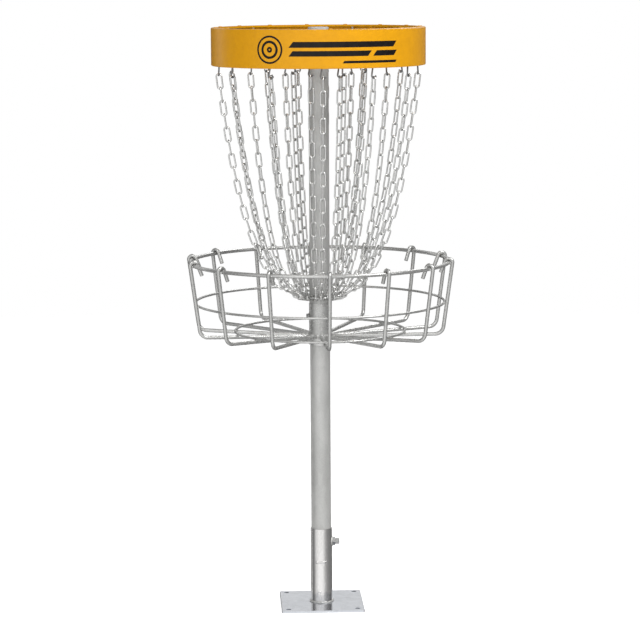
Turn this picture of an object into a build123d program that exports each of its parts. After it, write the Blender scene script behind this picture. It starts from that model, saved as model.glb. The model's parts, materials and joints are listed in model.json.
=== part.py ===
from build123d import *
from math import asin, atan, cos, degrees, radians, sin, tan
import os

# Disc golf basket in millimetres, +Z up.
# The origin is on the pole's axis, at the underside of the base plate.
# Azimuths are measured about +Z from +X, in degrees.

# Gaps
RUN_GAP = 0.08  # radial, between the pole and the tubes around it
TOUCH_GAP = 0.05  # between pieces that rest on each other or are welded

# Base plate
PLATE_SIDE = 210.0
PLATE_THICK = 6.0
PLATE_CORNER = 3.0
PLATE_EDGE = 0.6
PLATE_HOLE_R = 6.5
PLATE_HOLE_SPACING = 176.0

# Pole
POLE_R = 25.4
POLE_WALL = 2.6
POLE_TOP = 1468.0

# Foot plug in the pole's lower end
PLUG_FLANGE = 3.0
PLUG_DEPTH = 28.0
PLUG_BORE_R = 16.0

# Cap on the pole's upper end
CAP_R = 26.0
CAP_HEIGHT = 7.4
CAP_EDGE = 2.5
CAP_SPIGOT = 18.0
CAP_SPIGOT_BORE_R = 18.0

# Anchor sleeve, its welded nut and the square-headed lock bolt
SLEEVE_R = 27.5
SLEEVE_TOP = 198.0
LOCK_HEIGHT = 162.0
NUT_ACROSS_FLATS = 19.0
NUT_THICK = 8.0
BOLT_R = 5.9
BOLT_HOLE_R = 6.0
BOLT_HEAD_SIDE = 13.0
BOLT_HEAD_LENGTH = 10.0
BOLT_HEAD_START = 36.1

# Basket hub and the bolts of both collars
HUB_BOTTOM = 674.0
HUB_TOP = 780.0
HUB_BOLT_HEIGHT = 746.0
COLLAR_BOLT_R = 4.0
COLLAR_BOLT_HOLE_R = 4.2
COLLAR_BOLT_LENGTH = 12.0
COLLAR_HEAD_ACROSS_FLATS = 13.0
COLLAR_HEAD_THICK = 5.3
COLLAR_WASHER_R = 8.5
COLLAR_WASHER_THICK = 1.6

# Basket rods and rings
ROD_COUNT = 14
ROD_PHASE = 14.55
ROD_R = 4.75
ROD_TOP_RADIUS = 337.3
ROD_CORNER_RADIUS = 312.3
ROD_CORNER_HEIGHT = 706.0
ROD_CORNER_BEND = 22.0
ROD_HUB_HEIGHT = 696.0
ROD_TIP_LENGTH = 31.0
ROD_TIP_LEAN = 22.0  # from upright, towards the pole
ROD_TIP_ROUND = 1.0
RIM_HEIGHT = 887.0
RIM_WIRE_R = 4.75
MID_HEIGHT = 784.0
MID_WIRE_R = 3.0
FLOOR_RING_RADIUS = 215.5
FLOOR_WIRE_R = 3.0

# Head: collar, spokes, hanger rings, support ring and band
HEAD_BOTTOM = 1381.0
HEAD_TOP = 1475.5
HANGER_HEIGHT = 1394.0
HANGER_WIRE_R = 3.0
SPOKE_COUNT = 6
SPOKE_PHASE = 7.5
SPOKE_R = 4.0
SPOKE_BEND = 15.0
TOP_COLLAR_BOTTOM = 1382.0
TOP_COLLAR_TOP = 1458.0
TOP_BOLT_HEIGHT = 1430.0
BAND_R = 268.5
BAND_SHEET = 1.5
BAND_BEND = 3.0
BAND_TOP_FLANGE = 18.0
BAND_BOTTOM_HEM = 4.7
NOTCH_ANGLE = 40.0
NOTCH_START = 262.0
SUPPORT_THICK = 3.0
SUPPORT_INNER = 249.0
SUPPORT_OUTER = 265.0
RIVET_COUNT = 16
RIVET_PHASE = 4.1
RIVET_CIRCLE = 257.0
RIVET_SHANK_R = 2.5
RIVET_HEAD_R = 5.0
RIVET_HEAD_HEIGHT = 1.4

# Chain links, S-hooks and the ring that gathers the chains
LINK_PITCH = 33.5
LINK_WIRE_R = 2.0
LINK_BEND = 6.5
LINK_PLAY = 0.3
HOOK_WIRE_R = 2.0
HOOK_BEND = 6.0
HOOK_REACH = 38.0  # hanger ring's wire to the wire that carries the first link
HOOK_TIP_ANGLE = 20.0
HOOK_PLAY = 0.25
CHAIN_RING_RADIUS = 36.0
CHAIN_RING_WIRE_R = 3.0
CHAIN_RING_HEIGHT = 796.0
CHAIN_RING_PLAY = 0.35
FIRST_BEND_PLAY = 0.4  # extra, between the link at the ring and the next, where a chain bends most

# Tiers of chains: hanger ring's radius, links per chain, first azimuth, azimuth step
TIERS = {
    "outer": (254.0, 19, 0.0, 30.0),
    "middle": (178.0, 18, 45.0, 60.0),
    "inner": (88.0, 17, 15.0, 60.0),
}

PARTS_FOLDER = "parts"


def save(piece, name):
    """Label a finished piece and write its STEP file."""
    piece.part.label = name
    export_step(piece.part, f"{PARTS_FOLDER}/{name}.step")


def side_plane(azimuth):
    """The upright plane through the pole's axis: local X is outwards, local Y is up."""
    outwards = Vector(cos(radians(azimuth)), sin(radians(azimuth)), 0)
    return Plane(origin=(0, 0, 0), x_dir=outwards, z_dir=outwards.cross(Vector(0, 0, 1)))


def make_ring(radius, height, wire_r):
    """A ring of round wire about the pole's axis."""
    with BuildPart() as ring:
        with BuildSketch(Plane.XZ):
            with Locations((radius, height)):
                Circle(wire_r)
        revolve(axis=Axis.Z)
    return ring


def make_base_plate():
    """Square plate with a hole for a ground screw near each corner."""
    with BuildPart() as plate:
        with BuildSketch():
            RectangleRounded(PLATE_SIDE, PLATE_SIDE, PLATE_CORNER)
            with GridLocations(PLATE_HOLE_SPACING, PLATE_HOLE_SPACING, 2, 2):
                Circle(PLATE_HOLE_R, mode=Mode.SUBTRACT)
        extrude(amount=PLATE_THICK)
        top_rim = plate.faces().sort_by(Axis.Z)[-1].outer_wire().edges()
        chamfer(top_rim, PLATE_EDGE)
    return plate


def make_anchor_sleeve():
    """Tube that stands on the plate and takes the pole, with a hole for the lock bolt."""
    with BuildPart() as sleeve:
        with BuildSketch(Plane.XY.offset(PLATE_THICK)):
            Circle(SLEEVE_R)
            Circle(POLE_R + RUN_GAP, mode=Mode.SUBTRACT)
        extrude(amount=SLEEVE_TOP - PLATE_THICK)
        with BuildSketch(Plane.YZ):
            with Locations((0, LOCK_HEIGHT)):
                Circle(BOLT_HOLE_R)
        extrude(amount=SLEEVE_R + 1, mode=Mode.SUBTRACT)
    return sleeve


def make_lock_nut():
    """Hexagon nut whose back is coped to the sleeve it is welded to."""
    with BuildPart() as nut:
        with BuildSketch(Plane.YZ.offset(POLE_R)):
            with Locations((0, LOCK_HEIGHT)):
                RegularPolygon(NUT_ACROSS_FLATS / 2, 6, major_radius=False)
                Circle(BOLT_HOLE_R, mode=Mode.SUBTRACT)
        extrude(amount=SLEEVE_R + NUT_THICK - POLE_R)
        with BuildSketch(Plane.XY):
            Circle(SLEEVE_R + TOUCH_GAP)
        extrude(amount=SLEEVE_TOP, mode=Mode.SUBTRACT)
    return nut


def make_lock_bolt():
    """Square-headed set bolt whose tip presses on the pole."""
    with BuildPart() as bolt:
        with BuildSketch(Plane.YZ.offset(POLE_R + TOUCH_GAP)):
            with Locations((0, LOCK_HEIGHT)):
                Circle(BOLT_R)
        extrude(amount=BOLT_HEAD_START - POLE_R - TOUCH_GAP)
        with BuildSketch(Plane.YZ.offset(BOLT_HEAD_START)):
            with Locations((0, LOCK_HEIGHT)):
                Rectangle(BOLT_HEAD_SIDE, BOLT_HEAD_SIDE)
        extrude(amount=BOLT_HEAD_LENGTH)
        chamfer(bolt.faces().sort_by(Axis.X)[-1].edges(), 1.2)
    return bolt


def make_pole():
    """Tube from the plug's flange to the cap, with a hole for the bolt of each collar."""
    bottom = PLATE_THICK + PLUG_FLANGE + 2 * TOUCH_GAP
    with BuildPart() as pole:
        with BuildSketch(Plane.XY.offset(bottom)):
            Circle(POLE_R)
            Circle(POLE_R - POLE_WALL, mode=Mode.SUBTRACT)
        extrude(amount=POLE_TOP - bottom)
        with BuildSketch(Plane.YZ):
            with Locations((0, HUB_BOLT_HEIGHT), (0, TOP_BOLT_HEIGHT)):
                Circle(COLLAR_BOLT_HOLE_R)
        extrude(amount=-POLE_R - 1, mode=Mode.SUBTRACT)
    return pole


def make_foot_plug():
    """Plastic plug in the pole's lower end: a flange under the tube and a hollow spigot inside it."""
    start = PLATE_THICK + TOUCH_GAP
    with BuildPart() as plug:
        with BuildSketch(Plane.XY.offset(start)):
            Circle(POLE_R - 0.2)
        extrude(amount=PLUG_FLANGE)
        with BuildSketch(Plane.XY.offset(start + PLUG_FLANGE)):
            Circle(POLE_R - POLE_WALL - RUN_GAP)
            Circle(PLUG_BORE_R, mode=Mode.SUBTRACT)
        extrude(amount=PLUG_DEPTH)
    return plug


def make_pole_cap():
    """Cap with a rounded edge on top and a hollow spigot inside the pole."""
    with BuildPart() as cap:
        with BuildSketch(Plane.XY.offset(POLE_TOP + TOUCH_GAP)):
            Circle(CAP_R)
        extrude(amount=CAP_HEIGHT)
        fillet(cap.faces().sort_by(Axis.Z)[-1].edges(), CAP_EDGE)
        with BuildSketch(Plane.XY.offset(POLE_TOP + TOUCH_GAP)):
            Circle(POLE_R - POLE_WALL - RUN_GAP)
            Circle(CAP_SPIGOT_BORE_R, mode=Mode.SUBTRACT)
        extrude(amount=-CAP_SPIGOT)
    return cap


def make_collar(bottom, top, bolt_height):
    """Tube around the pole, with a hole for its bolt on the -X side."""
    with BuildPart() as collar:
        with BuildSketch(Plane.XY.offset(bottom)):
            Circle(SLEEVE_R)
            Circle(POLE_R + RUN_GAP, mode=Mode.SUBTRACT)
        extrude(amount=top - bottom)
        with BuildSketch(Plane.YZ):
            with Locations((0, bolt_height)):
                Circle(COLLAR_BOLT_HOLE_R)
        extrude(amount=-SLEEVE_R - 1, mode=Mode.SUBTRACT)
    return collar


def make_collar_bolts():
    """Two washered hexagon bolts through the collars into the pole, on the -X side."""
    heights = [(0, HUB_BOLT_HEIGHT), (0, TOP_BOLT_HEIGHT)]
    seat = -SLEEVE_R - TOUCH_GAP
    with BuildPart() as bolts:
        with BuildSketch(Plane.YZ.offset(seat)):
            with Locations(*heights):
                Circle(COLLAR_BOLT_R)
        extrude(amount=COLLAR_BOLT_LENGTH)
        with BuildSketch(Plane.YZ.offset(seat)):
            with Locations(*heights):
                Circle(COLLAR_WASHER_R)
        extrude(amount=-COLLAR_WASHER_THICK)
        with BuildSketch(Plane.YZ.offset(seat - COLLAR_WASHER_THICK)):
            with Locations(*heights):
                RegularPolygon(COLLAR_HEAD_ACROSS_FLATS / 2, 6, major_radius=False)
        extrude(amount=-COLLAR_HEAD_THICK)
    return bolts


def rod_leg_radius(height):
    """Radius of a rod's outer leg at a height."""
    share = (height - ROD_CORNER_HEIGHT) / (RIM_HEIGHT - ROD_CORNER_HEIGHT)
    return ROD_CORNER_RADIUS + share * (ROD_TOP_RADIUS - ROD_CORNER_RADIUS)


def make_rod(azimuth):
    """Rod that hooks over the rim, runs down the outside, and turns in to the hub."""
    bend = ROD_R + RIM_WIRE_R + TOUCH_GAP
    centre = ROD_TOP_RADIUS - bend
    lean = atan((ROD_TOP_RADIUS - ROD_CORNER_RADIUS) / (RIM_HEIGHT - ROD_CORNER_HEIGHT))
    outer_start = (centre + bend * cos(lean), RIM_HEIGHT - bend * sin(lean))
    crown = (centre, RIM_HEIGHT + bend)
    tip_lean = radians(ROD_TIP_LEAN)
    inner_start = (centre - bend * cos(tip_lean), RIM_HEIGHT + bend * sin(tip_lean))
    inner_tip = (
        inner_start[0] - ROD_TIP_LENGTH * sin(tip_lean),
        inner_start[1] - ROD_TIP_LENGTH * cos(tip_lean),
    )
    corner = (ROD_CORNER_RADIUS, ROD_CORNER_HEIGHT)
    hub_end = (SLEEVE_R + TOUCH_GAP + 0.1, ROD_HUB_HEIGHT)
    plane = side_plane(azimuth)
    with BuildPart() as rod:
        with BuildLine(plane) as route:
            Line(inner_tip, inner_start)
            ThreePointArc(inner_start, crown, outer_start)
            FilletPolyline(outer_start, corner, hub_end, radius=ROD_CORNER_BEND)
        start = plane.from_local_coords(inner_tip)
        with BuildSketch(Plane(origin=start, z_dir=plane.from_local_coords(inner_start) - start)):
            Circle(ROD_R)
        sweep(path=route.wires()[0])
        tip_face = rod.faces().filter_by(GeomType.PLANE).sort_by_distance(start)[0]
        fillet(tip_face.edges(), ROD_TIP_ROUND)
    return rod


def make_top_spokes():
    """Rods from the top collar that turn up to the support ring under the band's flange."""
    leg = TIERS["outer"][0] + HANGER_WIRE_R + SPOKE_R + TOUCH_GAP
    height = HANGER_HEIGHT + HANGER_WIRE_R + SPOKE_R + TOUCH_GAP
    leg_top = HEAD_TOP - BAND_SHEET - SUPPORT_THICK - 2 * TOUCH_GAP
    inner_end = SLEEVE_R + TOUCH_GAP + 0.1
    with BuildPart() as spokes:
        for index in range(SPOKE_COUNT):
            plane = side_plane(SPOKE_PHASE + index * 360 / SPOKE_COUNT)
            with BuildLine(plane) as route:
                FilletPolyline((inner_end, height), (leg, height), (leg, leg_top), radius=SPOKE_BEND)
            start = plane.from_local_coords((inner_end, height))
            with BuildSketch(Plane(origin=start, z_dir=plane.x_dir)):
                Circle(SPOKE_R)
            sweep(path=route.wires()[0])
    return spokes


def make_support_ring():
    """Flat ring under the band's flange, drilled for the rivets."""
    with BuildPart() as ring:
        with BuildSketch(Plane.XY.offset(HEAD_TOP - BAND_SHEET - SUPPORT_THICK - TOUCH_GAP)):
            Circle(SUPPORT_OUTER)
            Circle(SUPPORT_INNER, mode=Mode.SUBTRACT)
            with PolarLocations(RIVET_CIRCLE, RIVET_COUNT, start_angle=RIVET_PHASE):
                Circle(RIVET_SHANK_R + TOUCH_GAP, mode=Mode.SUBTRACT)
        extrude(amount=SUPPORT_THICK)
    return ring


def make_band():
    """Rolled sheet with a notched flange turned in at the top and a small hem at the bottom."""
    inner = BAND_R - BAND_SHEET
    flange_edge = BAND_R - BAND_TOP_FLANGE
    hem_edge = BAND_R - BAND_BOTTOM_HEM
    with BuildPart() as band:
        with BuildSketch(Plane.XZ):
            with BuildLine():
                FilletPolyline(
                    (flange_edge, HEAD_TOP),
                    (BAND_R, HEAD_TOP),
                    (BAND_R, HEAD_BOTTOM),
                    (hem_edge, HEAD_BOTTOM),
                    radius=BAND_BEND,
                )
                FilletPolyline(
                    (flange_edge, HEAD_TOP - BAND_SHEET),
                    (inner, HEAD_TOP - BAND_SHEET),
                    (inner, HEAD_BOTTOM + BAND_SHEET),
                    (hem_edge, HEAD_BOTTOM + BAND_SHEET),
                    radius=BAND_BEND - BAND_SHEET,
                )
                Line((flange_edge, HEAD_TOP), (flange_edge, HEAD_TOP - BAND_SHEET))
                Line((hem_edge, HEAD_BOTTOM), (hem_edge, HEAD_BOTTOM + BAND_SHEET))
            make_face()
        revolve(axis=Axis.Z)
        with BuildSketch(Plane.XY.offset(HEAD_TOP - 2 * BAND_SHEET)):
            with PolarLocations(0, RIVET_COUNT, start_angle=RIVET_PHASE + 180 / RIVET_COUNT):
                with BuildLine():
                    mouth = flange_edge - 1
                    spread = (NOTCH_START - mouth) * tan(radians(NOTCH_ANGLE / 2))
                    Polyline((NOTCH_START, 0), (mouth, spread), (mouth, -spread), close=True)
                make_face()
            with PolarLocations(RIVET_CIRCLE, RIVET_COUNT, start_angle=RIVET_PHASE):
                Circle(RIVET_SHANK_R + TOUCH_GAP)
        extrude(amount=3 * BAND_SHEET, mode=Mode.SUBTRACT)
    return band


def make_band_rivets():
    """Domed rivets through the band's flange and the support ring."""
    flange_top = HEAD_TOP + TOUCH_GAP
    bottom = HEAD_TOP - BAND_SHEET - SUPPORT_THICK - TOUCH_GAP
    with BuildPart() as rivets:
        with BuildSketch(Plane.XY.offset(bottom)):
            with PolarLocations(RIVET_CIRCLE, RIVET_COUNT, start_angle=RIVET_PHASE):
                Circle(RIVET_SHANK_R)
        extrude(amount=flange_top - bottom)
        with BuildSketch(Plane.XY.offset(flange_top)):
            with PolarLocations(RIVET_CIRCLE, RIVET_COUNT, start_angle=RIVET_PHASE):
                Circle(RIVET_HEAD_R)
        extrude(amount=RIVET_HEAD_HEIGHT)
        fillet(rivets.edges().filter_by(GeomType.CIRCLE).group_by(Axis.Z)[-1], RIVET_HEAD_HEIGHT * 0.8)
    return rivets


def chain_lengths(link_count):
    """Straight pieces of a chain from the chain ring up to the hanger ring: the links, then the hook."""
    play = LINK_PLAY / 2
    at_ring = LINK_PITCH + play - CHAIN_RING_WIRE_R - CHAIN_RING_PLAY - FIRST_BEND_PLAY
    at_hook = LINK_PITCH + play - HOOK_WIRE_R - HOOK_PLAY
    return [at_ring] + [LINK_PITCH] * (link_count - 2) + [at_hook, HOOK_REACH]


def chain_reach(lengths, first_slope, step):
    """Angles of the pieces whose slopes grow by one step each, and how far out and up they reach."""
    angles = [atan(first_slope + step * index) for index in range(len(lengths))]
    out = sum(length * cos(angle) for length, angle in zip(lengths, angles))
    up = sum(length * sin(angle) for length, angle in zip(lengths, angles))
    return angles, out, up


def bisect(low, high, is_low):
    """The value between low and high where is_low turns false."""
    for _ in range(60):
        middle = (low + high) / 2
        if is_low(middle):
            low = middle
        else:
            high = middle
    return middle


def hanging_angles(lengths, out, up):
    """Angles of a chain that hangs under its own weight between two points, from the bottom up."""

    def first_slope(step):
        return bisect(-50.0, 50.0, lambda first: chain_reach(lengths, first, step)[2] < up)

    step = bisect(0.0, 5.0, lambda value: chain_reach(lengths, first_slope(value), value)[1] > out)
    return chain_reach(lengths, first_slope(step), step)[0]


def chain_points(hanger_radius, link_count):
    """Points (radius, height) where the pieces of a chain meet, from the chain ring up, and the angles."""
    lengths = chain_lengths(link_count)
    out = hanger_radius - CHAIN_RING_RADIUS
    up = HANGER_HEIGHT - CHAIN_RING_HEIGHT
    angles = hanging_angles(lengths, out, up)
    points = [(CHAIN_RING_RADIUS, CHAIN_RING_HEIGHT)]
    for length, angle in zip(lengths, angles):
        radius, height = points[-1]
        points.append((radius + length * cos(angle), height + length * sin(angle)))
    return points, angles


def link_planes(hanger_radius, link_count, hand):
    """A plane for each link at azimuth 0: local X along the link, local Z across its flat side.

    The link at the ring and the link at the hook both face sideways. Each link is a quarter turn
    from the last, and an even number of links also twists a little, to the side its hand says.
    """
    points, angles = chain_points(hanger_radius, link_count)
    quarter_turns = link_count - 1
    if quarter_turns % 2 == 1:
        quarter_turns += hand
    turn = radians(90 * quarter_turns / (link_count - 1))
    sideways = Vector(0, 1, 0)
    planes = []
    for index in range(link_count):
        angle = angles[index]
        along = Vector(cos(angle), 0, sin(angle))
        if index == 0:
            end, offset = points[1], FIRST_BEND_PLAY - LINK_PITCH / 2
        else:
            end, offset = points[index], LINK_PITCH / 2
        centre = Vector(end[0], 0, end[1]) + along * offset
        across = along.cross(sideways)
        normal = sideways * cos(turn * index) + across * sin(turn * index)
        planes.append(Plane(origin=centre, x_dir=along, z_dir=normal))
    return planes


def make_link():
    """One oval link of round wire, flat in XY with its length along X."""
    straight = LINK_PITCH + LINK_PLAY + 2 * LINK_WIRE_R - 2 * LINK_BEND
    half = straight / 2
    with BuildPart() as link:
        with BuildLine() as route:
            Line((-half, LINK_BEND), (half, LINK_BEND))
            ThreePointArc((half, LINK_BEND), (half + LINK_BEND, 0), (half, -LINK_BEND))
            Line((half, -LINK_BEND), (-half, -LINK_BEND))
            ThreePointArc((-half, -LINK_BEND), (-half - LINK_BEND, 0), (-half, LINK_BEND))
        with BuildSketch(Plane(origin=(-half, LINK_BEND, 0), z_dir=(1, 0, 0))):
            Circle(LINK_WIRE_R)
        sweep(path=route.wires()[0])
    return link


def make_chain(link, planes):
    """A chain at azimuth 0: one link in each plane."""
    with BuildPart() as chain:
        with Locations(*planes):
            add(link.part)
    return chain


def turned(piece, azimuth):
    """A copy of a piece, turned about the pole's axis."""
    with BuildPart() as copy:
        with Locations(Location((0, 0, 0), (0, 0, azimuth))):
            add(piece.part)
    return copy


def make_hook(hanger_radius, link_count):
    """Open hook at azimuth 0, with its lower bend a quarter turn from the one over the hanger ring.

    It leans the way its chain pulls, and sideways by just enough to bring its lower bend under the ring.
    """
    angle = chain_points(hanger_radius, link_count)[1][-1]
    pull = Vector(-cos(angle), 0, -sin(angle))
    sideways = Vector(0, 1, 0)
    tilt = asin(HOOK_BEND / (HOOK_REACH - HOOK_BEND))
    up = pull * -cos(tilt) + sideways * sin(tilt)
    across = sideways * cos(tilt) + pull * sin(tilt)
    over = Plane(origin=(hanger_radius, 0, HANGER_HEIGHT), x_dir=across.cross(up), z_dir=across * -1)
    upper = (HANGER_WIRE_R + HOOK_WIRE_R + TOUCH_GAP) / cos(tilt) - HOOK_BEND
    drop = (HOOK_REACH - HOOK_BEND) * cos(tilt)
    cross = asin(HOOK_BEND / (upper + drop + HOOK_BEND))
    shank = (upper + drop - HOOK_BEND * sin(cross)) / cos(cross)
    with BuildLine(over) as upper_bend:
        top = CenterArc((0, upper), HOOK_BEND, -HOOK_TIP_ANGLE, 180 + HOOK_TIP_ANGLE + degrees(cross))
    along = top % 1
    with BuildLine(Plane(origin=top @ 1, x_dir=across, z_dir=along.cross(across))) as lower_bend:
        Line((0, 0), (0, -shank))
        CenterArc((HOOK_BEND, -shank), HOOK_BEND, 180, 180 + HOOK_TIP_ANGLE)
    with BuildPart() as hook:
        with BuildSketch(Plane(origin=top @ 0, z_dir=top % 0)):
            Circle(HOOK_WIRE_R)
        sweep(path=Wire(upper_bend.edges() + lower_bend.edges()))
    return hook


def make_s_hooks():
    """All S-hooks: one for each chain."""
    with BuildPart() as hooks:
        for hanger_radius, link_count, first, step in TIERS.values():
            hook = make_hook(hanger_radius, link_count)
            azimuths = [first + step * index for index in range(round(360 / step))]
            places = [Location((0, 0, 0), (0, 0, azimuth)) for azimuth in azimuths]
            with Locations(*places):
                add(hook.part)
    return hooks


def save_chains():
    """Write each chain as a node, numbered by azimuth."""
    link = make_link()
    chains = {}
    for hanger_radius, link_count, first, step in TIERS.values():
        for hand in (-1, 1):
            pattern = make_chain(link, link_planes(hanger_radius, link_count, hand))
            start = 0 if hand < 0 else 1
            for index in range(start, round(360 / step), 2):
                azimuth = first + step * index
                chains[azimuth] = turned(pattern, azimuth)
    for number, azimuth in enumerate(sorted(chains), start=1):
        save(chains[azimuth], f"chain_{number:02d}")


def save_all():
    """Write every piece."""
    os.makedirs(PARTS_FOLDER, exist_ok=True)
    save(make_base_plate(), "base_plate")
    save(make_anchor_sleeve(), "anchor_sleeve")
    save(make_lock_nut(), "lock_nut")
    save(make_lock_bolt(), "lock_bolt")
    save(make_foot_plug(), "foot_plug")
    save(make_pole(), "pole")
    save(make_pole_cap(), "pole_cap")
    save(make_collar(HUB_BOTTOM, HUB_TOP, HUB_BOLT_HEIGHT), "hub_collar")
    save(make_collar(TOP_COLLAR_BOTTOM, TOP_COLLAR_TOP, TOP_BOLT_HEIGHT), "top_collar")
    save(make_collar_bolts(), "collar_bolts")
    rim_radius = ROD_TOP_RADIUS - ROD_R - RIM_WIRE_R - TOUCH_GAP
    mid_radius = rod_leg_radius(MID_HEIGHT) - ROD_R - MID_WIRE_R - 3 * TOUCH_GAP
    slope = (ROD_CORNER_HEIGHT - ROD_HUB_HEIGHT) / (ROD_CORNER_RADIUS - SLEEVE_R)
    rod_height = ROD_HUB_HEIGHT + slope * (FLOOR_RING_RADIUS - SLEEVE_R)
    floor_height = rod_height + ROD_R + FLOOR_WIRE_R + TOUCH_GAP
    save(make_ring(rim_radius, RIM_HEIGHT, RIM_WIRE_R), "rim_ring")
    save(make_ring(mid_radius, MID_HEIGHT, MID_WIRE_R), "mid_ring")
    save(make_ring(FLOOR_RING_RADIUS, floor_height, FLOOR_WIRE_R), "floor_ring")
    for index in range(ROD_COUNT):
        save(make_rod(ROD_PHASE + index * 360 / ROD_COUNT), f"rod_{index + 1:02d}")
    save(make_ring(CHAIN_RING_RADIUS, CHAIN_RING_HEIGHT, CHAIN_RING_WIRE_R), "chain_ring")
    for tier, (hanger_radius, _, _, _) in TIERS.items():
        save(make_ring(hanger_radius, HANGER_HEIGHT, HANGER_WIRE_R), f"hanger_ring_{tier}")
    save(make_top_spokes(), "top_spokes")
    save(make_support_ring(), "support_ring")
    save(make_band(), "band")
    save(make_band_rivets(), "band_rivets")
    save(make_s_hooks(), "s_hooks")
    save_chains()


save_all()
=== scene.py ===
import json
import math

import bpy
import numpy as np
from mathutils import Matrix, Vector


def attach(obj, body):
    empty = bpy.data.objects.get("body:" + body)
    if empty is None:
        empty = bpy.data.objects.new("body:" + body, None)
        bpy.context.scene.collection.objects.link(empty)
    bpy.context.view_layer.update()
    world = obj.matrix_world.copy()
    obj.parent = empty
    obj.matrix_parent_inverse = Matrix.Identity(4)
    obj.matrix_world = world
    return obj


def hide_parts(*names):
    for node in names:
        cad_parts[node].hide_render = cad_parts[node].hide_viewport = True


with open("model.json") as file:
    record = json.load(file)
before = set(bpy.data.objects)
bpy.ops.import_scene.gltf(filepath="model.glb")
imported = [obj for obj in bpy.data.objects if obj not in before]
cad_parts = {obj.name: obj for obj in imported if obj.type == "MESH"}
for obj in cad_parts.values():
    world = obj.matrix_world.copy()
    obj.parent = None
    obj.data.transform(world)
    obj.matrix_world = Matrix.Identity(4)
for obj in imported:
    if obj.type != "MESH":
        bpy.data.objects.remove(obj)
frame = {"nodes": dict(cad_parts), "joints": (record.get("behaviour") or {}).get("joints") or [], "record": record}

# Disc golf basket. Metres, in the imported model's frame: the origin is under the base plate, on the
# pole's axis.

MM = 0.001

# Camera: its turn to the left, distance from the pole's axis, height, downward pitch and roll
CAMERA_TURN = math.radians(2.5)
CAMERA_DISTANCE = 6.3206
CAMERA_HEIGHT = 1.621
CAMERA_PITCH = math.radians(7.97)
CAMERA_ROLL = math.radians(-0.357)
CAMERA_LENS = 141.4
SENSOR_WIDTH = 36.0

# Chain links and hooks, as the CAD has them
LINK_PITCH = 33.5 * MM
LINK_PLAY = 0.3 * MM
LINK_WIRE = 2.0 * MM
LINK_BEND = 6.5 * MM
LINK_SIDES = 12
LINK_SEAM = 0.1  # how far the weld seam swells, as a share of the wire
LINK_SEAM_WIDTH = 1.6 * MM
HOOK_WIRE = 2.0 * MM
HOOK_BEND = 6.0 * MM
HOOK_REACH = 38.0 * MM
HOOK_TIP = math.radians(20)
HOOK_PLAY = 0.25 * MM
HOOK_SIDES = 14
TIP_TAPER = [0.55, 0.85, 0.97]  # wire's radius over the last points before a tip, as shares
TOUCH_GAP = 0.05 * MM
HANGER_WIRE = 3.0 * MM
HANGER_HEIGHT = 1394.0 * MM
HANGER_RADII = [254.0 * MM, 178.0 * MM, 88.0 * MM]

# Base and frame, as the CAD has them, for the welds
TUBE_R = 27.5 * MM
PLATE_TOP = 6.0 * MM
NUT_HEIGHT = 162.0 * MM
NUT_WELD_R = 10.4 * MM
ROD_R = 4.75 * MM
ROD_TURNS = [math.radians(14.55 + index * 360 / 14) for index in range(14)]
RIM_RADIUS = 327.75 * MM
RIM_HEIGHT = 887.0 * MM
MID_HEIGHT = 784.0 * MM
MID_LEG_RADIUS = 323.1 * MM
FLOOR_RING_RADIUS = 215.5 * MM
ROD_HUB_HEIGHT = 696.0 * MM
FLOOR_WELD_HEIGHT = 707.3 * MM
SPOKE_R = 4.0 * MM
SPOKE_TURNS = [math.radians(7.5 + index * 60) for index in range(6)]
SPOKE_HEIGHT = HANGER_HEIGHT + HANGER_WIRE + SPOKE_R + TOUCH_GAP

# Weld beads' wire radius, and sides around it
BEAD_SIDES = 8
FOOT_BEAD = 2.5 * MM
NUT_BEAD = 1.9 * MM
ROD_BEAD = 1.6 * MM
SPOKE_BEAD = 1.5 * MM
# Half sizes of weld lumps: outwards, sideways and up
RIM_LUMP = (2.2 * MM, 2.4 * MM, 3.4 * MM)
MID_LUMP = (1.8 * MM, 4.8 * MM, 3.4 * MM)
FLOOR_LUMP = (3.4 * MM, 4.8 * MM, 1.8 * MM)
HANGER_LUMP = (3.2 * MM, 4.2 * MM, 1.6 * MM)
# Weld lumps at the sleeve's foot: azimuth in degrees, half width and half height in millimetres
FOOT_LUMPS = [(255, 4.6, 2.8), (262, 3.6, 3.6), (268, 3.0, 2.4), (20, 4.0, 2.6), (140, 4.2, 2.8)]
# Runs of zinc on the sleeve: azimuth in degrees, height and half width in millimetres
SLEEVE_RUNS = [(240, 113, 5), (249, 111, 6), (262, 114, 4), (275, 112, 7), (288, 114, 5), (258, 34, 4),
               (284, 52, 3)]

# Print on the band
PRINT_PROUD = 0.12 * MM
PRINT_SUNK = 0.3 * MM
BAND_R = 268.5 * MM
# Badge: azimuth in degrees, height, and the outer and inner radius of each ring
BADGE_AZIMUTH = 241.5
BADGE_HEIGHT = 1427.0 * MM
BADGE_RINGS = [(34.0 * MM, 29.5 * MM), (22.0 * MM, 16.0 * MM), (7.0 * MM, 2.0 * MM)]
# Stripes: first and last azimuth in degrees, lower and upper edge, and how far the ends lean in degrees
STRIPES = [
    (252.0, 310.0, 1432.0 * MM, 1446.0 * MM, 2.4),
    (252.0, 294.0, 1411.0 * MM, 1424.0 * MM, 2.2),
    (297.0, 310.5, 1411.0 * MM, 1424.0 * MM, 2.2),
    (280.0, 311.5, 1394.0 * MM, 1400.0 * MM, 1.0),
]

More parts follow.
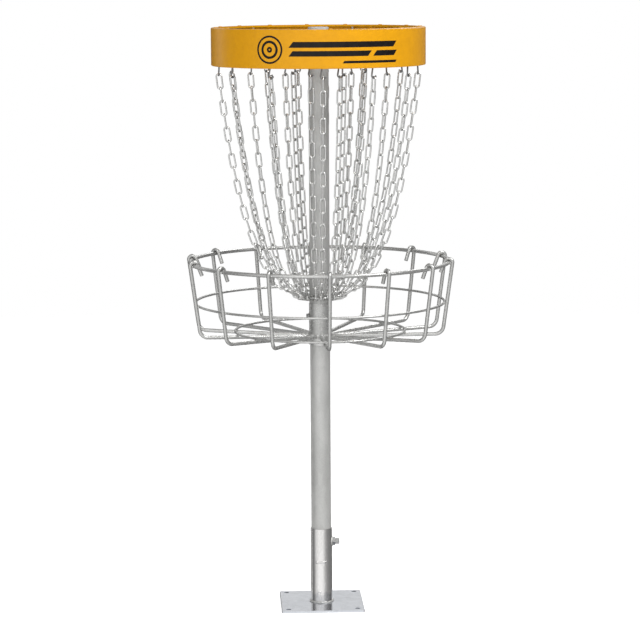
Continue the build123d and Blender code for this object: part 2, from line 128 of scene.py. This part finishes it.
# Studio. Room tones go by the azimuth from the camera's side, to its right, in degrees, and height
# tones from straight down to straight up.
FLOOR_RADIUS = 6.0
LIGHT_AIM = 0.9
ROOM_STRENGTH = 1.25
ROOM_TONES = [(-180, 0.06), (-144, 0.06), (-138, 0.9), (-127, 0.9), (-119, 0.14), (-84, 0.3), (-60, 0.88),
              (-28, 1.15), (14, 1.06), (36, 0.58), (60, 0.32), (84, 0.25), (120, 0.2), (180, 0.12)]
HEIGHT_TONES = [(0.0, 0.9), (0.5, 0.9), (0.75, 0.8), (1.0, 0.8)]
# Backdrop behind the basket: tones by the sine of elevation
PANEL_TONES = [(0.14, 0.0), (0.2, 0.6), (0.85, 0.5), (1.0, 0.3)]


# ---------------------------------------------------------------- mesh tools


def make_object(name, vertices, faces, material, smooth=True):
    """A mesh object from arrays."""
    mesh = bpy.data.meshes.new(name)
    mesh.from_pydata([tuple(v) for v in vertices], [], [tuple(int(i) for i in f) for f in faces])
    mesh.validate()
    mesh.update()
    mesh.polygons.foreach_set("use_smooth", [smooth] * len(mesh.polygons))
    mesh.materials.append(material)
    piece = bpy.data.objects.new(name, mesh)
    bpy.context.scene.collection.objects.link(piece)
    return piece


def add_piece(name, vertices, faces, material, body, slot, replaced=(), smooth=True):
    """A finished piece that rides on a body."""
    piece = make_object(name, vertices, faces, material, smooth)
    if replaced:
        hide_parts(*replaced)
    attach(piece, body)
    return piece


class Shapes:
    """Collects vertices and faces of several solids that form one piece."""

    def __init__(self):
        self.vertices = []
        self.faces = []
        self.count = 0

    def add(self, vertices, faces):
        self.vertices.append(np.asarray(vertices, float))
        self.faces += [tuple(i + self.count for i in face) for face in faces]
        self.count += len(vertices)

    def arrays(self):
        return np.vstack(self.vertices), self.faces


def unit(vector):
    """A vector at length one."""
    return vector / np.linalg.norm(vector)


def path_frames(points, closed):
    """Tangents of a path and two axes across it that don't twist."""
    points = np.asarray(points, float)
    if closed:
        tangents = np.roll(points, -1, 0) - np.roll(points, 1, 0)
    else:
        tangents = np.gradient(points, axis=0)
    tangents = tangents / np.linalg.norm(tangents, axis=1)[:, None]
    helper = np.eye(3)[np.argmin(np.abs(tangents[0]))]
    first = unit(np.cross(tangents[0], helper))
    across = [first]
    for tangent in tangents[1:]:
        last = across[-1]
        across.append(unit(last - tangent * np.dot(last, tangent)))
    across = np.array(across)
    return tangents, across, np.cross(tangents, across)


def grid_faces(rows, columns, wrap_rows, wrap_columns):
    """Quads of a grid of vertices."""
    faces = []
    for row in range(rows if wrap_rows else rows - 1):
        after = (row + 1) % rows
        for column in range(columns if wrap_columns else columns - 1):
            beside = (column + 1) % columns
            faces.append((row * columns + column, row * columns + beside,
                          after * columns + beside, after * columns + column))
    return faces


def sweep(points, radii, sides, closed=False):
    """A round tube along a path, closed in a ring or with a cap at each end."""
    points = np.asarray(points, float)
    radii = np.broadcast_to(np.asarray(radii, float), (len(points),))
    _, one, two = path_frames(points, closed)
    turn = np.linspace(0, 2 * math.pi, sides, endpoint=False)
    ring = np.cos(turn)[None, :, None] * one[:, None, :] + np.sin(turn)[None, :, None] * two[:, None, :]
    vertices = (points[:, None, :] + ring * radii[:, None, None]).reshape(-1, 3)
    faces = grid_faces(len(points), sides, closed, True)
    if not closed:
        last = (len(points) - 1) * sides
        faces.append(tuple(reversed(range(sides))))
        faces.append(tuple(range(last, last + sides)))
    return vertices, faces


def blob(centre, axes, seed, rough=0.12, rows=9, columns=14):
    """A small rounded lump, such as a weld, with half axes given as three vectors."""
    draw = np.random.default_rng(seed)
    phases = draw.uniform(0, 2 * math.pi, 6)
    axes = np.asarray(axes, float)
    vertices = []
    faces = []
    for row in range(1, rows):
        polar = math.pi * row / rows
        for column in range(columns):
            turn = 2 * math.pi * column / columns
            swell = 1 + rough * (
                math.sin(3 * turn + phases[0]) * math.sin(2 * polar + phases[1])
                + 0.5 * math.sin(5 * turn + phases[2]) * math.sin(4 * polar + phases[3])
            )
            point = np.array([math.sin(polar) * math.cos(turn), math.sin(polar) * math.sin(turn),
                              math.cos(polar)])
            vertices.append(centre + (point * swell) @ axes)
    faces += grid_faces(rows - 1, columns, False, True)
    top = len(vertices)
    vertices.append(centre + axes[2])
    vertices.append(centre - axes[2])
    last = (rows - 2) * columns
    for column in range(columns):
        beside = (column + 1) % columns
        faces.append((top, beside, column))
        faces.append((top + 1, last + column, last + beside))
    return vertices, faces


def radial(azimuth):
    """Outward unit vector at an azimuth in radians."""
    return np.array([math.cos(azimuth), math.sin(azimuth), 0.0])


def sideways(azimuth):
    """Unit vector around the pole at an azimuth in radians."""
    return np.array([-math.sin(azimuth), math.cos(azimuth), 0.0])


UP = np.array([0.0, 0.0, 1.0])


# ---------------------------------------------------------------- materials


def new_material(name):
    """An empty Principled material and its parts."""
    material = bpy.data.materials.new(name)
    material.use_nodes = True
    nodes = material.node_tree.nodes
    return material, nodes, material.node_tree.links, nodes["Principled BSDF"]


def texture_point(nodes, links, stretch=(1.0, 1.0, 1.0)):
    """Object coordinates, stretched."""
    coordinates = nodes.new("ShaderNodeTexCoord")
    mapping = nodes.new("ShaderNodeMapping")
    mapping.inputs["Scale"].default_value = stretch
    links.new(coordinates.outputs["Object"], mapping.inputs["Vector"])
    return mapping.outputs["Vector"]


def noise(nodes, links, point, scale, detail=3.0, roughness=0.5):
    """Noise factor at a scale in cells per metre."""
    texture = nodes.new("ShaderNodeTexNoise")
    texture.inputs["Scale"].default_value = scale
    texture.inputs["Detail"].default_value = detail
    texture.inputs["Roughness"].default_value = roughness
    links.new(point, texture.inputs["Vector"])
    return texture.outputs["Fac"]


def ramp(nodes, links, factor, stops):
    """Colour ramp: stops are (position, (r, g, b))."""
    node = nodes.new("ShaderNodeValToRGB")
    elements = node.color_ramp.elements
    while len(elements) < len(stops):
        elements.new(0.5)
    for element, (position, colour) in zip(elements, stops):
        element.position = position
        element.color = (*colour, 1.0)
    links.new(factor, node.inputs["Fac"])
    return node.outputs["Color"]


def grey_stops(tones):
    """Stops of a colour ramp from (position, tone)."""
    return [(position, (tone,) * 3) for position, tone in tones]


def map_range(nodes, links, factor, low, high, new_low, new_high):
    """A factor moved from one range to another."""
    node = nodes.new("ShaderNodeMapRange")
    node.inputs["From Min"].default_value = low
    node.inputs["From Max"].default_value = high
    node.inputs["To Min"].default_value = new_low
    node.inputs["To Max"].default_value = new_high
    links.new(factor, node.inputs["Value"])
    return node.outputs["Result"]


def mix(nodes, links, one, two, factor, kind="MIX"):
    """Two colours mixed."""
    node = nodes.new("ShaderNodeMix")
    node.data_type = "RGBA"
    node.blend_type = kind
    for value, socket in ((factor, node.inputs[0]), (one, node.inputs[6]), (two, node.inputs[7])):
        if isinstance(value, (int, float)):
            socket.default_value = value
        elif isinstance(value, tuple):
            socket.default_value = (*value, 1.0)
        else:
            links.new(value, socket)
    return node.outputs[2]


def bump(nodes, links, height, strength, distance, normal=None):
    """Bump from a height."""
    node = nodes.new("ShaderNodeBump")
    node.inputs["Strength"].default_value = strength
    node.inputs["Distance"].default_value = distance
    links.new(height, node.inputs["Height"])
    if normal is not None:
        links.new(normal, node.inputs["Normal"])
    return node.outputs["Normal"]


def zinc(name, dark, light, roughness, spangle, cloud=9.0, grain=700.0, metallic=1.0, depth=0.00012,
         stretch=(1.0, 1.0, 1.0)):
    """Galvanised steel: spangle patches, cloudy tone, fine grain, and roughness that follows them.

    dark and light are the tones between which the surface wanders, and spangle is in cells per metre.
    Weathered zinc is less metallic, because its skin is oxide.
    """
    material, nodes, links, shader = new_material(name)
    point = texture_point(nodes, links, stretch)
    cells = nodes.new("ShaderNodeTexVoronoi")
    cells.inputs["Scale"].default_value = spangle
    warp = nodes.new("ShaderNodeTexNoise")
    warp.inputs["Scale"].default_value = spangle * 1.7
    links.new(point, warp.inputs["Vector"])
    shifted = nodes.new("ShaderNodeVectorMath")
    shifted.operation = "MULTIPLY_ADD"
    shifted.inputs[1].default_value = (0.35 / spangle,) * 3
    links.new(warp.outputs["Color"], shifted.inputs[0])
    links.new(point, shifted.inputs[2])
    links.new(shifted.outputs["Vector"], cells.inputs["Vector"])
    patch = nodes.new("ShaderNodeSeparateColor")
    links.new(cells.outputs["Color"], patch.inputs["Color"])
    clouds = noise(nodes, links, point, cloud, 4.0, 0.55)
    fine = noise(nodes, links, point, grain, 2.0, 0.6)
    tone = mix(nodes, links, ramp(nodes, links, clouds, [(0.3, dark), (0.7, light)]),
               ramp(nodes, links, patch.outputs["Red"], [(0.0, dark), (1.0, light)]), 0.35)
    speck = ramp(nodes, links, fine, [(0.25, (0.86, 0.86, 0.86)), (0.65, (1.0, 1.0, 1.0))])
    links.new(mix(nodes, links, tone, speck, 1.0, "MULTIPLY"), shader.inputs["Base Color"])
    shader.inputs["Metallic"].default_value = metallic
    rough = map_range(nodes, links, patch.outputs["Green"], 0.0, 1.0, roughness - 0.05, roughness + 0.06)
    links.new(rough, shader.inputs["Roughness"])
    soft = bump(nodes, links, clouds, 0.25, depth * 3)
    links.new(bump(nodes, links, fine, 0.3, depth, soft), shader.inputs["Normal"])
    return material


def powder_coat(name):
    """Orange-yellow powder coat: fine orange peel, faint dust and slightly uneven gloss."""
    material, nodes, links, shader = new_material(name)
    point = texture_point(nodes, links)
    clouds = noise(nodes, links, point, 5.0, 3.0)
    peel = noise(nodes, links, point, 900.0, 1.0, 0.4)
    dust = noise(nodes, links, point, 60.0, 6.0, 0.7)
    base = ramp(nodes, links, clouds, [(0.3, (0.505, 0.232, 0.002)), (0.7, (0.540, 0.250, 0.003))])
    faded = ramp(nodes, links, dust, [(0.35, (0.93, 0.92, 0.9)), (0.6, (1.0, 1.0, 1.0))])
    links.new(mix(nodes, links, base, faded, 1.0, "MULTIPLY"), shader.inputs["Base Color"])
    links.new(map_range(nodes, links, dust, 0.3, 0.7, 0.36, 0.28), shader.inputs["Roughness"])
    shader.inputs["Specular IOR Level"].default_value = 0.2
    links.new(bump(nodes, links, peel, 0.18, 0.00008), shader.inputs["Normal"])
    return material


def ink(name):
    """Black printed film."""
    material, nodes, links, shader = new_material(name)
    point = texture_point(nodes, links)
    wear = noise(nodes, links, point, 80.0, 5.0, 0.6)
    links.new(ramp(nodes, links, wear, [(0.3, (0.004, 0.003, 0.003)), (0.75, (0.009, 0.008, 0.007))]),
              shader.inputs["Base Color"])
    links.new(map_range(nodes, links, wear, 0.3, 0.7, 0.3, 0.42), shader.inputs["Roughness"])
    shader.inputs["Specular IOR Level"].default_value = 0.16
    return material


def plastic(name):
    """Grey moulded plastic with a fine texture."""
    material, nodes, links, shader = new_material(name)
    point = texture_point(nodes, links)
    grain = noise(nodes, links, point, 1400.0, 2.0, 0.6)
    tone = noise(nodes, links, point, 40.0, 3.0)
    links.new(ramp(nodes, links, tone, [(0.3, (0.30, 0.30, 0.29)), (0.7, (0.36, 0.36, 0.35))]),
              shader.inputs["Base Color"])
    links.new(map_range(nodes, links, grain, 0.3, 0.7, 0.45, 0.6), shader.inputs["Roughness"])
    links.new(bump(nodes, links, grain, 0.3, 0.00006), shader.inputs["Normal"])
    return material


def pale_floor(name):
    """Plain pale studio floor that thins out to nothing well away from the object."""
    material, nodes, links, shader = new_material(name)
    shader.inputs["Base Color"].default_value = (0.93, 0.93, 0.93, 1.0)
    shader.inputs["Roughness"].default_value = 0.9
    shader.inputs["Specular IOR Level"].default_value = 0.1
    shader.inputs["Emission Color"].default_value = (1.0, 1.0, 1.0, 1.0)
    shader.inputs["Emission Strength"].default_value = 0.42
    coordinates = nodes.new("ShaderNodeTexCoord")
    length = nodes.new("ShaderNodeVectorMath")
    length.operation = "LENGTH"
    links.new(coordinates.outputs["Object"], length.inputs[0])
    fade = map_range(nodes, links, length.outputs["Value"], 0.25 * FLOOR_RADIUS, 0.95 * FLOOR_RADIUS,
                     1.0, 0.0)
    links.new(fade, shader.inputs["Alpha"])
    return material


MATERIALS = {
    "galvanised_plate": zinc("bright_plate_zinc", (0.56, 0.58, 0.62), (0.66, 0.68, 0.72), 0.11, 90.0),
    "galvanised_sleeve": zinc("bright_sleeve_zinc", (0.66, 0.65, 0.64), (0.78, 0.77, 0.76), 0.2, 120.0,
                              stretch=(1.0, 1.0, 0.25)),
    "galvanised_pole": zinc("matt_pole_zinc", (0.345, 0.345, 0.335), (0.455, 0.455, 0.445), 0.4, 60.0,
                            metallic=0.4, stretch=(1.0, 1.0, 0.45)),
    "galvanised_wire": zinc("matt_wire_zinc", (0.40, 0.40, 0.39), (0.54, 0.54, 0.53), 0.3, 140.0,
                            metallic=0.8),
    "chain_zinc": zinc("plated_chain_zinc", (0.62, 0.62, 0.61), (0.80, 0.80, 0.79), 0.22, 260.0, cloud=30.0),
    "hook_steel": zinc("plated_hook_steel", (0.20, 0.20, 0.20), (0.30, 0.30, 0.30), 0.35, 260.0, cloud=30.0),
    "fastener_zinc": zinc("plated_fastener_zinc", (0.26, 0.26, 0.26), (0.46, 0.46, 0.45), 0.18, 300.0,
                          cloud=50.0),
    "yellow_powder_coat": powder_coat("yellow_powder_coat"),
    "grey_plastic": plastic("grey_plastic"),
}
WELD = zinc("zinc_over_weld", (0.40, 0.40, 0.39), (0.58, 0.58, 0.57), 0.36, 400.0, cloud=90.0, metallic=0.6,
            depth=0.0003)
INK = ink("black_print")


def paint_nodes():
    """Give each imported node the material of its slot."""
    slots = {part["node"]: part["material_slot"] for part in frame["record"]["subparts"]}
    for name, node in frame["nodes"].items():
        node.data.materials.clear()
        node.data.materials.append(MATERIALS[slots[name]])
        for polygon in node.data.polygons:
            polygon.material_index = 0


# ---------------------------------------------------------------- chains and hooks


def loose_parts(node):
    """The vertices of each separate solid of a node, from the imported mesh."""
    mesh = node.data
    points = np.empty(len(mesh.vertices) * 3)
    mesh.vertices.foreach_get("co", points)
    points = points.reshape(-1, 3)
    _, merged = np.unique(np.round(points * 1e5).astype(np.int64), axis=0, return_inverse=True)
    merged = merged.reshape(-1)
    edges = np.empty(len(mesh.edges) * 2, np.int64)
    mesh.edges.foreach_get("vertices", edges)
    edges = merged[edges].reshape(-1, 2)
    label = np.arange(merged.max() + 1)
    while True:
        low = np.minimum(label[edges[:, 0]], label[edges[:, 1]])
        after = label.copy()
        np.minimum.at(after, edges[:, 0], low)
        np.minimum.at(after, edges[:, 1], low)
        after = after[after]
        if (after == label).all():
            break
        label = after
    labels = label[merged]
    return [points[labels == value] for value in np.unique(labels)]


def main_axes(points):
    """Middle of a solid's box along its own main axes, and those axes, longest first."""
    _, _, axes = np.linalg.svd(points - points.mean(0), full_matrices=False)
    along = (points - points.mean(0)) @ axes.T
    middle = points.mean(0) + ((along.min(0) + along.max(0)) / 2) @ axes
    return middle, axes


def link_template():
    """One oval link in its own frame, with the flattened weld seam on one long side."""
    half = (LINK_PITCH + LINK_PLAY + 2 * LINK_WIRE - 2 * LINK_BEND) / 2
    end_turns = np.linspace(math.pi / 2, -math.pi / 2, 12)
    right = [(half + LINK_BEND * math.cos(t), LINK_BEND * math.sin(t), 0) for t in end_turns]
    left = [(-half - LINK_BEND * math.cos(t), -LINK_BEND * math.sin(t), 0) for t in end_turns]
    straight = np.linspace(-half, half, 11)[1:-1]
    weld_side = [(x, LINK_BEND, 0) for x in straight]
    plain_side = [(x, -LINK_BEND, 0) for x in straight[::-1][1::3]]
    points = np.array(weld_side + right + plain_side + left)
    radii = np.full(len(points), LINK_WIRE)
    near_weld = np.abs(points[:, 0]) < half
    seam = np.exp(-(points[:, 0] / LINK_SEAM_WIDTH) ** 2) * (points[:, 1] > 0) * near_weld
    radii = radii * (1 + LINK_SEAM * seam)
    return sweep(points, radii, LINK_SIDES, closed=True)


def chain_names():
    """Names of the chains' bodies, which are also their nodes' names."""
    return [joint["child"] for joint in frame["joints"] if joint["child"].startswith("chain_")]


def build_chains():
    """Replace each chain by links with round wire and weld seams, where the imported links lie."""
    vertices, faces = link_template()
    for name in chain_names():
        shapes = Shapes()
        parts = sorted(loose_parts(frame["nodes"][name]), key=lambda part: part[:, 2].mean())
        for number, part in enumerate(parts):
            middle, axes = main_axes(part)
            along = axes[0] * (1 if number % 2 else -1)
            across = axes[1] * (1 if number % 3 else -1)
            basis = np.array([along, across, np.cross(along, across)])
            shapes.add(middle + vertices @ basis, faces)
        add_piece(f"{name}_links", *shapes.arrays(), MATERIALS["chain_zinc"], name, "chain_zinc", [name])


def hook_path(ring_wire, contact, azimuth):
    """Middle line of a hook from the hanger ring's wire to the top link, its bends a quarter turn apart."""
    pull = unit(contact - ring_wire)
    tilt = math.asin(HOOK_BEND / (HOOK_REACH - HOOK_BEND))
    up = -pull * math.cos(tilt) + sideways(azimuth) * math.sin(tilt)
    across = sideways(azimuth) * math.cos(tilt) + pull * math.sin(tilt)
    over = np.cross(across, up)
    upper = (HANGER_WIRE + HOOK_WIRE + TOUCH_GAP) / math.cos(tilt) - HOOK_BEND
    drop = (HOOK_REACH - HOOK_BEND) * math.cos(tilt)
    lean = math.asin(HOOK_BEND / (upper + drop + HOOK_BEND))
    shank = (upper + drop - HOOK_BEND * math.sin(lean)) / math.cos(lean)
    turns = np.linspace(-HOOK_TIP, math.pi + lean, 24)[:, None]
    top = ring_wire + HOOK_BEND * np.cos(turns) * over + (upper + HOOK_BEND * np.sin(turns)) * up
    down = over * math.sin(lean) - up * math.cos(lean)
    line = np.array([top[-1] + down * shank * share for share in np.linspace(0.15, 0.85, 6)])
    centre = top[-1] + down * shank + across * HOOK_BEND
    turns = np.linspace(math.pi, 2 * math.pi + HOOK_TIP, 24)[:, None]
    bottom = centre + HOOK_BEND * np.cos(turns) * across - HOOK_BEND * np.sin(turns) * down
    return np.vstack([top, line, bottom])


def build_hooks():
    """Replace the hooks by hooks of round wire with rounded tips."""
    shapes = Shapes()
    for name in chain_names():
        top_link = max(loose_parts(frame["nodes"][name]), key=lambda part: part[:, 2].mean())
        middle, axes = main_axes(top_link)
        along = axes[0] * np.sign(axes[0][2])
        contact = middle + along * ((LINK_PITCH + LINK_PLAY) / 2 - HOOK_WIRE - HOOK_PLAY)
        azimuth = math.atan2(middle[1], middle[0])
        out = math.hypot(contact[0], contact[1])
        radius = min(HANGER_RADII, key=lambda value: abs(value - out))
        points = hook_path(radial(azimuth) * radius + UP * HANGER_HEIGHT, contact, azimuth)
        radii = np.full(len(points), HOOK_WIRE)
        radii[:3] = HOOK_WIRE * np.array(TIP_TAPER)
        radii[-3:] = HOOK_WIRE * np.array(TIP_TAPER[::-1])
        shapes.add(*sweep(points, radii, HOOK_SIDES))
    add_piece("s_hooks_round", *shapes.arrays(), MATERIALS["hook_steel"], "mast", "hook_steel", ["s_hooks"])


# ---------------------------------------------------------------- welds and print


def bead(centre, one, two, radius, wire, seed, count=44):
    """A rippled weld bead around a circle with two given axes."""
    draw = np.random.default_rng(seed)
    turns = np.linspace(0, 2 * math.pi, count, endpoint=False)
    points = centre + radius * (np.cos(turns)[:, None] * one + np.sin(turns)[:, None] * two)
    radii = wire * (1 + 0.14 * np.sin(turns * 11 + draw.uniform(0, 6)) + draw.uniform(-0.1, 0.1, count))
    return sweep(points, radii, BEAD_SIDES, closed=True)


def lump(place, turn, sizes, seed):
    """A weld lump at an azimuth, with half sizes outwards, sideways and up."""
    axes = (radial(turn) * sizes[0], sideways(turn) * sizes[1], UP * sizes[2])
    return blob(place, axes, seed, 0.2)


def build_base_welds():
    """Weld beads around the sleeve's foot, with lumps on it, and around the nut."""
    shapes = Shapes()
    foot = UP * (PLATE_TOP + 0.9 * MM)
    shapes.add(*bead(foot, radial(0), radial(math.pi / 2), TUBE_R + 1.2 * MM, FOOT_BEAD, 1, 120))
    for seed, (azimuth, width, height) in enumerate(FOOT_LUMPS):
        turn = math.radians(azimuth)
        axes = (sideways(turn) * width * MM, UP * height * MM, radial(turn) * 2.6 * MM)
        place = radial(turn) * (TUBE_R + 1.6 * MM) + UP * (PLATE_TOP + 1.6 * MM)
        shapes.add(*blob(place, axes, 10 + seed, 0.25))
    turns = np.linspace(0, 2 * math.pi, 60, endpoint=False)
    side = NUT_WELD_R * np.cos(turns)
    out = np.sqrt(TUBE_R ** 2 - side ** 2) + 0.4 * MM
    points = np.c_[out, side, NUT_HEIGHT + NUT_WELD_R * np.sin(turns)]
    radii = NUT_BEAD * (1 + 0.15 * np.sin(turns * 13))
    shapes.add(*sweep(points, radii, BEAD_SIDES, closed=True))
    add_piece("base_welds", *shapes.arrays(), WELD, "base", "galvanised_sleeve")


def build_sleeve_runs():
    """Low bright runs of zinc on the sleeve."""
    shapes = Shapes()
    for seed, (azimuth, level, width) in enumerate(SLEEVE_RUNS):
        turn = math.radians(azimuth)
        axes = (sideways(turn) * width * MM, UP * 2.6 * MM, radial(turn) * 0.7 * MM)
        place = radial(turn) * (TUBE_R - 0.25 * MM) + UP * level * MM
        shapes.add(*blob(place, axes, 30 + seed, 0.35))
    add_piece("sleeve_runs", *shapes.arrays(), MATERIALS["galvanised_sleeve"], "base", "galvanised_sleeve")


def build_frame_welds():
    """Welds where rods and spokes meet rings and collars."""
    shapes = Shapes()
    for seed, turn in enumerate(ROD_TURNS):
        out, side = radial(turn), sideways(turn)
        for hand in (-1, 1):
            rim = out * (RIM_RADIUS + 4.0 * MM) + UP * (RIM_HEIGHT - 1.5 * MM)
            rim = rim + side * hand * (ROD_R - 0.6 * MM)
            shapes.add(*lump(rim, turn, RIM_LUMP, 100 + seed * 2 + hand))
        mid = out * (MID_LEG_RADIUS - ROD_R - 0.6 * MM) + UP * MID_HEIGHT
        shapes.add(*lump(mid, turn, MID_LUMP, 200 + seed))
        floor = out * FLOOR_RING_RADIUS + UP * FLOOR_WELD_HEIGHT
        shapes.add(*lump(floor, turn, FLOOR_LUMP, 300 + seed))
        hub = out * (TUBE_R + 0.6 * MM) + UP * ROD_HUB_HEIGHT
        shapes.add(*bead(hub, side, UP, ROD_R + 0.4 * MM, ROD_BEAD, 400 + seed))
    for seed, turn in enumerate(SPOKE_TURNS):
        out, side = radial(turn), sideways(turn)
        collar = out * (TUBE_R + 0.6 * MM) + UP * SPOKE_HEIGHT
        shapes.add(*bead(collar, side, UP, SPOKE_R + 0.4 * MM, SPOKE_BEAD, 500 + seed))
        for number, radius in enumerate(HANGER_RADII):
            place = out * radius + UP * (HANGER_HEIGHT + HANGER_WIRE)
            shapes.add(*lump(place, turn, HANGER_LUMP, 600 + seed * 3 + number))
    add_piece("frame_welds", *shapes.arrays(), WELD, "mast", "galvanised_wire")


def print_stroke(edges, closed=False):
    """A thin curved solid on the band, between left and right edges given as (azimuth, height) along it."""
    vertices = []
    for left, right in edges:
        corners = ((right, PRINT_PROUD), (right, -PRINT_SUNK), (left, -PRINT_SUNK), (left, PRINT_PROUD))
        for (azimuth, height), proud in corners:
            vertices.append(radial(azimuth) * (BAND_R + proud) + UP * height)
    faces = grid_faces(len(edges), 4, closed, True)
    if not closed:
        last = (len(edges) - 1) * 4
        faces.append((3, 2, 1, 0))
        faces.append((last, last + 1, last + 2, last + 3))
    return vertices, faces


def build_print():
    """Plain rings and stripes in black film on the band."""
    shapes = Shapes()
    middle = math.radians(BADGE_AZIMUTH)
    for outer, inner in BADGE_RINGS:
        edges = []
        for turn in np.linspace(0, 2 * math.pi, 72, endpoint=False):
            pair = [(middle + radius * math.cos(turn) / BAND_R, BADGE_HEIGHT + radius * math.sin(turn))
                    for radius in (inner, outer)]
            edges.append(pair)
        shapes.add(*print_stroke(edges, closed=True))
    for first, last, low, high, lean in STRIPES:
        edges = [((math.radians(azimuth + lean), high), (math.radians(azimuth), low))
                 for azimuth in np.linspace(first, last, 60)]
        shapes.add(*print_stroke(edges))
    add_piece("band_print", *shapes.arrays(), INK, "mast", "grey_plastic", smooth=False)


# ---------------------------------------------------------------- camera, light and floor


def build_stage():
    """Pale floor that fades out away from the basket."""
    mesh = bpy.data.meshes.new("floor")
    turns = np.linspace(0, 2 * math.pi, 96, endpoint=False)
    mesh.from_pydata([(FLOOR_RADIUS * math.cos(t), FLOOR_RADIUS * math.sin(t), 0.0) for t in turns], [],
                     [tuple(range(96))])
    mesh.materials.append(pale_floor("pale_floor"))
    floor = bpy.data.objects.new("floor", mesh)
    floor.visible_glossy = False
    bpy.context.scene.collection.objects.link(floor)


def area_light(name, azimuth, distance, height, size, power):
    """A soft rectangular light aimed at the middle of the basket, at an azimuth to the camera's right."""
    data = bpy.data.lights.new(name, "AREA")
    data.shape = "RECTANGLE"
    data.size, data.size_y = size
    data.energy = power
    light = bpy.data.objects.new(name, data)
    turn = math.radians(azimuth - 90) - CAMERA_TURN
    light.location = (distance * math.cos(turn), distance * math.sin(turn), height)
    aim = Vector((0, 0, LIGHT_AIM)) - light.location
    light.rotation_euler = aim.to_track_quat("-Z", "Y").to_euler()
    bpy.context.scene.collection.objects.link(light)
    return light


def build_world():
    """White for the camera; for light and reflections a room that is bright in front and dim behind."""
    world = bpy.data.worlds.new("studio")
    bpy.context.scene.world = world
    world.use_nodes = True
    nodes, links = world.node_tree.nodes, world.node_tree.links
    nodes.clear()
    output = nodes.new("ShaderNodeOutputWorld")
    seen = nodes.new("ShaderNodeBackground")
    seen.inputs["Color"].default_value = (1.0, 1.0, 1.0, 1.0)
    room = nodes.new("ShaderNodeBackground")
    place = nodes.new("ShaderNodeTexCoord")
    split = nodes.new("ShaderNodeSeparateXYZ")
    links.new(place.outputs["Generated"], split.inputs["Vector"])
    flip = nodes.new("ShaderNodeMath")
    flip.operation = "MULTIPLY"
    flip.inputs[1].default_value = -1.0
    links.new(split.outputs["Y"], flip.inputs[0])
    azimuth = nodes.new("ShaderNodeMath")
    azimuth.operation = "ARCTAN2"
    links.new(split.outputs["X"], azimuth.inputs[0])
    links.new(flip.outputs["Value"], azimuth.inputs[1])
    place_around = map_range(nodes, links, azimuth.outputs["Value"], -math.pi, math.pi, 0.0, 1.0)
    room_tones = [(0.5 + turn / 360, tone) for turn, tone in ROOM_TONES]
    around = ramp(nodes, links, place_around, grey_stops(room_tones))
    place_up = map_range(nodes, links, split.outputs["Z"], -1.0, 1.0, 0.0, 1.0)
    height = ramp(nodes, links, place_up, grey_stops(HEIGHT_TONES))
    walls = mix(nodes, links, around, height, 1.0, "MULTIPLY")
    behind = ramp(nodes, links, map_range(nodes, links, split.outputs["Y"], 0.5, 0.85, 0.0, 1.0),
                  [(0.0, (0.0, 0.0, 0.0)), (1.0, (1.0, 1.0, 1.0))])
    panel = ramp(nodes, links, split.outputs["Z"], grey_stops(PANEL_TONES))
    backdrop = mix(nodes, links, behind, panel, 1.0, "MULTIPLY")
    links.new(mix(nodes, links, walls, backdrop, 1.0, "ADD"), room.inputs["Color"])
    room.inputs["Strength"].default_value = ROOM_STRENGTH
    path = nodes.new("ShaderNodeLightPath")
    choose = nodes.new("ShaderNodeMixShader")
    links.new(path.outputs["Is Camera Ray"], choose.inputs["Fac"])
    links.new(room.outputs["Background"], choose.inputs[1])
    links.new(seen.outputs["Background"], choose.inputs[2])
    links.new(choose.outputs["Shader"], output.inputs["Surface"])


def build_light():
    """The room, three soft boxes that stand high, and a low front one that gloss doesn't mirror."""
    build_world()
    area_light("key", 55, 4.2, 4.6, (2.0, 2.0), 205.0)
    area_light("fill", -15, 4.6, 4.4, (2.4, 2.0), 38.0)
    front = area_light("front", 4, 5.4, 2.2, (1.6, 0.8), 62.0)
    front.visible_glossy = False
    area_light("back", 165, 4.0, 4.2, (2.4, 2.0), 70.0)


def build_camera():
    """Camera with a long lens, a little above the band, looking down."""
    data = bpy.data.cameras.new("camera")
    data.sensor_width = SENSOR_WIDTH
    data.lens = CAMERA_LENS
    data.clip_start = 0.1
    data.clip_end = 200.0
    camera = bpy.data.objects.new("camera", data)
    place = Vector((-CAMERA_DISTANCE * math.sin(CAMERA_TURN), -CAMERA_DISTANCE * math.cos(CAMERA_TURN),
                    CAMERA_HEIGHT))
    turn = Matrix.Rotation(-CAMERA_TURN, 4, "Z")
    pitch = Matrix.Rotation(math.pi / 2 - CAMERA_PITCH, 4, "X")
    roll = Matrix.Rotation(CAMERA_ROLL, 4, "Z")
    camera.matrix_world = Matrix.Translation(place) @ turn @ pitch @ roll
    bpy.context.scene.collection.objects.link(camera)
    bpy.context.scene.camera = camera
    bpy.context.scene.view_settings.view_transform = "Standard"


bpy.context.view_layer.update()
paint_nodes()
build_chains()
build_hooks()
build_base_welds()
build_sleeve_runs()
build_frame_welds()
build_print()
build_stage()
build_light()
build_camera()
